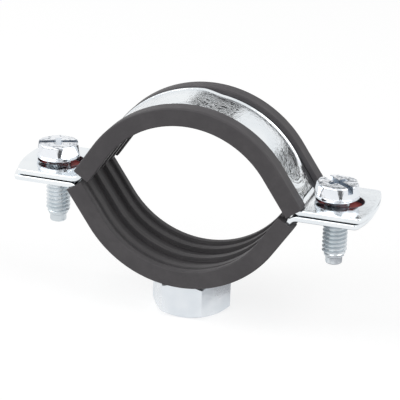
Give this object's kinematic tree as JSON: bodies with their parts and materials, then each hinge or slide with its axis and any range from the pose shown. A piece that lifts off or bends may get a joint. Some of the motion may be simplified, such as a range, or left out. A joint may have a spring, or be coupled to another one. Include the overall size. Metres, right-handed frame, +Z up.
{
  "type": "pipe clamp",
  "caption": "Two-part rubber-lined steel strip pipe clamp with side screws and a hexagonal connecting nut below.",
  "frame": {"origin": "centre of the pipe opening, on the plane where the two halves meet and halfway across the band", "axes": "+X runs from the left screw to the right screw, +Y along the pipe away from the viewer, +Z up from the connecting nut to the upper half"},
  "size_m": [0.0884, 0.0216, 0.0535],
  "materials": {
    "zinc_strip": "bright zinc plated, slightly clouded",
    "zinc_nut": "satin zinc plated",
    "zinc_screw": "bright blue zinc plated",
    "rubber_lining": "matt extruded rubber",
    "red_plastic": "matt"
  },
  "bodies": {
    "lower_half": {"lower_band": "zinc_strip", "lower_lining": "rubber_lining", "connecting_nut": "zinc_nut"},
    "upper_half": {"upper_band": "zinc_strip", "upper_lining": "rubber_lining", "left_captive_washer": "red_plastic", "right_captive_washer": "red_plastic"},
    "left_screw": {"left_screw": "zinc_screw"},
    "right_screw": {"right_screw": "zinc_screw"}
  },
  "joints": [
    {"name": "upper_half_lift", "type": "slide", "parent": "lower_half", "child": "upper_half", "axis": [0, 0, 1], "range_m": [0, 0.013]},
    {"name": "left_screw_turn", "type": "hinge", "parent": "upper_half", "child": "left_screw", "pos_m": [-0.0348, 0, 0], "axis": [0, 0, 1], "range_deg": [0, 4680]},
    {"name": "right_screw_turn", "type": "hinge", "parent": "upper_half", "child": "right_screw", "pos_m": [0.0348, 0, 0], "axis": [0, 0, 1], "range_deg": [0, 4680]}
  ],
  "couplings": [
    {"joint": "left_screw_turn", "follows": "upper_half_lift", "rad_per_m": 6283.2},
    {"joint": "right_screw_turn", "follows": "upper_half_lift", "rad_per_m": 6283.2}
  ]
}
